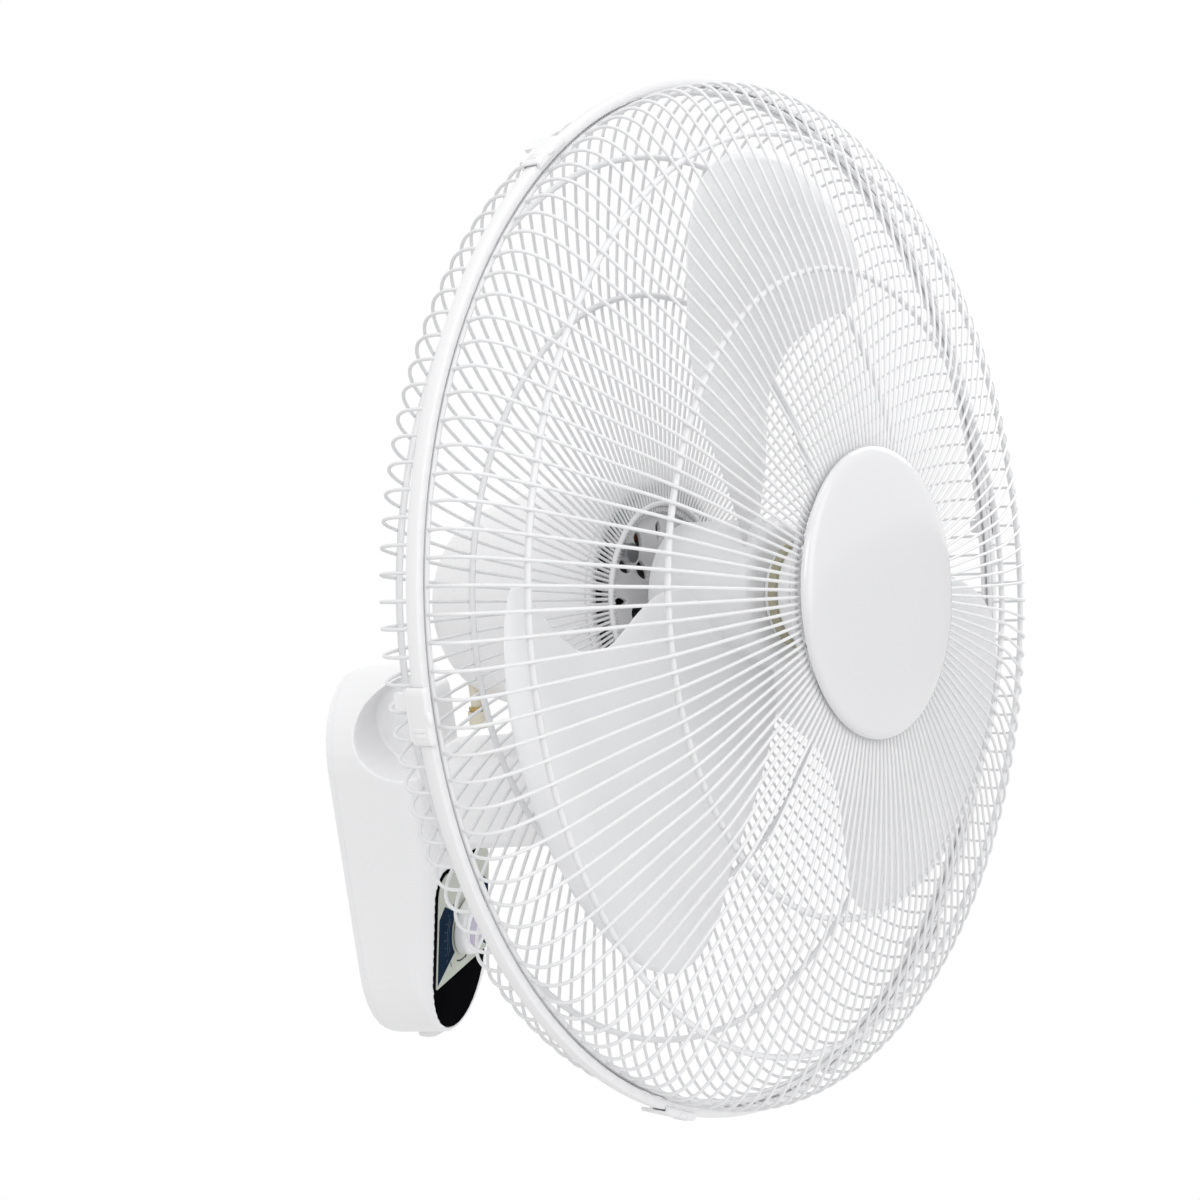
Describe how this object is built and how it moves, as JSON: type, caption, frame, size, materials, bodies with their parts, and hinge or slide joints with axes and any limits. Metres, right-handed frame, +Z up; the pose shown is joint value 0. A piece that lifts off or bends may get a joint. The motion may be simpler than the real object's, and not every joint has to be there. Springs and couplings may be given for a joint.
{
  "type": "wall mounted fan",
  "caption": "White wall mounted oscillating fan with a wire guard, frosted blades, a domed motor and a base with a knob on its front.",
  "frame": {"origin": "centre of the wall plate's flat back face, on the wall", "axes": "+Z up, +Y into the wall, so the fan faces -Y, turned 18 degrees towards -X at rest"},
  "size_m": [0.4269, 0.3066, 0.4366],
  "materials": {
    "white_plastic": "smooth moulded plastic, soft gloss",
    "wire_coat": "steel wire with a white powder coat",
    "blade_plastic": "frosted translucent moulded plastic",
    "black_plastic": "glossy black plastic",
    "label_face": "grey-green printed dial sheet",
    "lilac_plastic": "lilac insert",
    "olive_plastic": "olive-beige plastic",
    "ivory_plastic": "ivory nylon",
    "dark_plastic": "dark plastic case",
    "steel": "zinc-plated steel",
    "core_steel": "stacked steel sheets",
    "alloy": "die-cast aluminium",
    "copper": "lacquered copper wire, wound",
    "brass": "turned brass"
  },
  "bodies": {
    "base": {"wall_plate": "steel", "base_back_cover": "white_plastic", "base_housing": "white_plastic", "back_cover_screw_1": "steel", "back_cover_screw_2": "steel", "back_cover_screw_3": "steel", "arm_cover": "white_plastic", "control_panel": "black_plastic", "dial_plate": "label_face", "rotary_switch": "dark_plastic", "capacitor": "dark_plastic", "terminal_block": "ivory_plastic", "cord_gland": "white_plastic", "tilt_bolt": "steel", "tilt_nut": "steel"},
    "speed_control": {"speed_knob": "white_plastic", "knob_insert": "lilac_plastic", "switch_shaft": "brass"},
    "neck": {"neck": "white_plastic", "neck_bush": "ivory_plastic"},
    "head": {"motor_cover": "white_plastic", "motor_front_plate": "white_plastic", "stator_core": "core_steel", "stator_winding_front": "copper", "stator_winding_rear": "copper", "motor_rear_frame": "alloy", "motor_bolt_1": "steel", "motor_bolt_2": "steel", "motor_bolt_3": "steel", "motor_bolt_4": "steel", "front_bearing": "brass", "rear_bearing": "brass", "swivel_post": "steel", "swivel_nut": "steel", "gear_case": "alloy", "rear_guard": "wire_coat", "front_guard": "wire_coat", "guard_screw_1": "steel", "guard_screw_2": "steel", "guard_screw_3": "steel", "guard_screw_4": "steel", "guard_band": "white_plastic", "guard_cap": "white_plastic"},
    "spinner": {"motor_shaft": "steel", "rotor": "core_steel", "propeller": "blade_plastic", "blade_nut": "olive_plastic", "drive_pin": "steel"},
    "crank": {"worm_wheel": "ivory_plastic", "crank": "steel"},
    "link": {"crank_link": "ivory_plastic"},
    "pull_knob": {"oscillation_knob": "ivory_plastic", "knob_collar": "brass"},
    "clip_1": {"band_clip_1": "white_plastic"},
    "clip_2": {"band_clip_2": "white_plastic"},
    "clip_3": {"band_clip_3": "white_plastic"},
    "clip_4": {"band_clip_4": "white_plastic"},
    "clip_5": {"band_clip_5": "white_plastic"},
    "clip_6": {"band_clip_6": "white_plastic"}
  },
  "joints": [
    {"name": "speed_turn", "type": "hinge", "parent": "base", "child": "speed_control", "pos_m": [0, -0.03967, -0.039], "axis": [0, 0.9828, 0.1846], "range_deg": [0, 120]},
    {"name": "tilt", "type": "hinge", "parent": "base", "child": "neck", "pos_m": [0, -0.118, 0.027], "axis": [1, 0, 0], "range_deg": [-5, 20]},
    {"name": "head_swing", "type": "hinge", "parent": "neck", "child": "head", "pos_m": [0, -0.118, 0.0603], "axis": [0, 0, 1], "range_deg": [-27, 63]},
    {"name": "blade_spin", "type": "hinge", "parent": "head", "child": "spinner", "pos_m": [0, -0.118, 0.1145], "axis": [0.309, 0.9511, 0], "continuous": true},
    {"name": "crank_turn", "type": "hinge", "parent": "head", "child": "crank", "pos_m": [0.02259, -0.0938, 0.1015], "axis": [0, 0, 1], "continuous": true},
    {"name": "link_turn", "type": "hinge", "parent": "crank", "child": "link", "pos_m": [0.03019, -0.09627, 0.0845], "axis": [0, 0, 1], "continuous": true},
    {"name": "pull_knob_slide", "type": "slide", "parent": "head", "child": "pull_knob", "axis": [0, 0, 1], "range_m": [0, 0.005]},
    {"name": "clip_1_lift", "type": "hinge", "parent": "head", "child": "clip_1", "pos_m": [0.07157, -0.24756, 0.30173], "axis": [-0.8236, 0.2676, 0.5], "range_deg": [0, 60]},
    {"name": "clip_2_lift", "type": "hinge", "parent": "head", "child": "clip_2", "pos_m": [0.17438, -0.28096, 0.1145], "axis": [0, 0, 1], "range_deg": [0, 60]},
    {"name": "clip_3_lift", "type": "hinge", "parent": "head", "child": "clip_3", "pos_m": [0.07157, -0.24756, -0.07273], "axis": [0.8236, -0.2676, 0.5], "range_deg": [0, 60]},
    {"name": "clip_4_lift", "type": "hinge", "parent": "head", "child": "clip_4", "pos_m": [-0.13405, -0.18075, -0.07273], "axis": [0.8236, -0.2676, -0.5], "range_deg": [0, 60]},
    {"name": "clip_5_lift", "type": "hinge", "parent": "head", "child": "clip_5", "pos_m": [-0.23686, -0.14734, 0.1145], "axis": [0, 0, -1], "range_deg": [0, 60]},
    {"name": "clip_6_lift", "type": "hinge", "parent": "head", "child": "clip_6", "pos_m": [-0.13405, -0.18075, 0.30173], "axis": [-0.8236, 0.2676, -0.5], "range_deg": [0, 60]}
  ],
  "couplings": [
    {"joint": "crank_turn", "follows": "blade_spin", "ratio": 0.016667},
    {"joint": "link_turn", "follows": "blade_spin", "ratio": -0.016667}
  ]
}
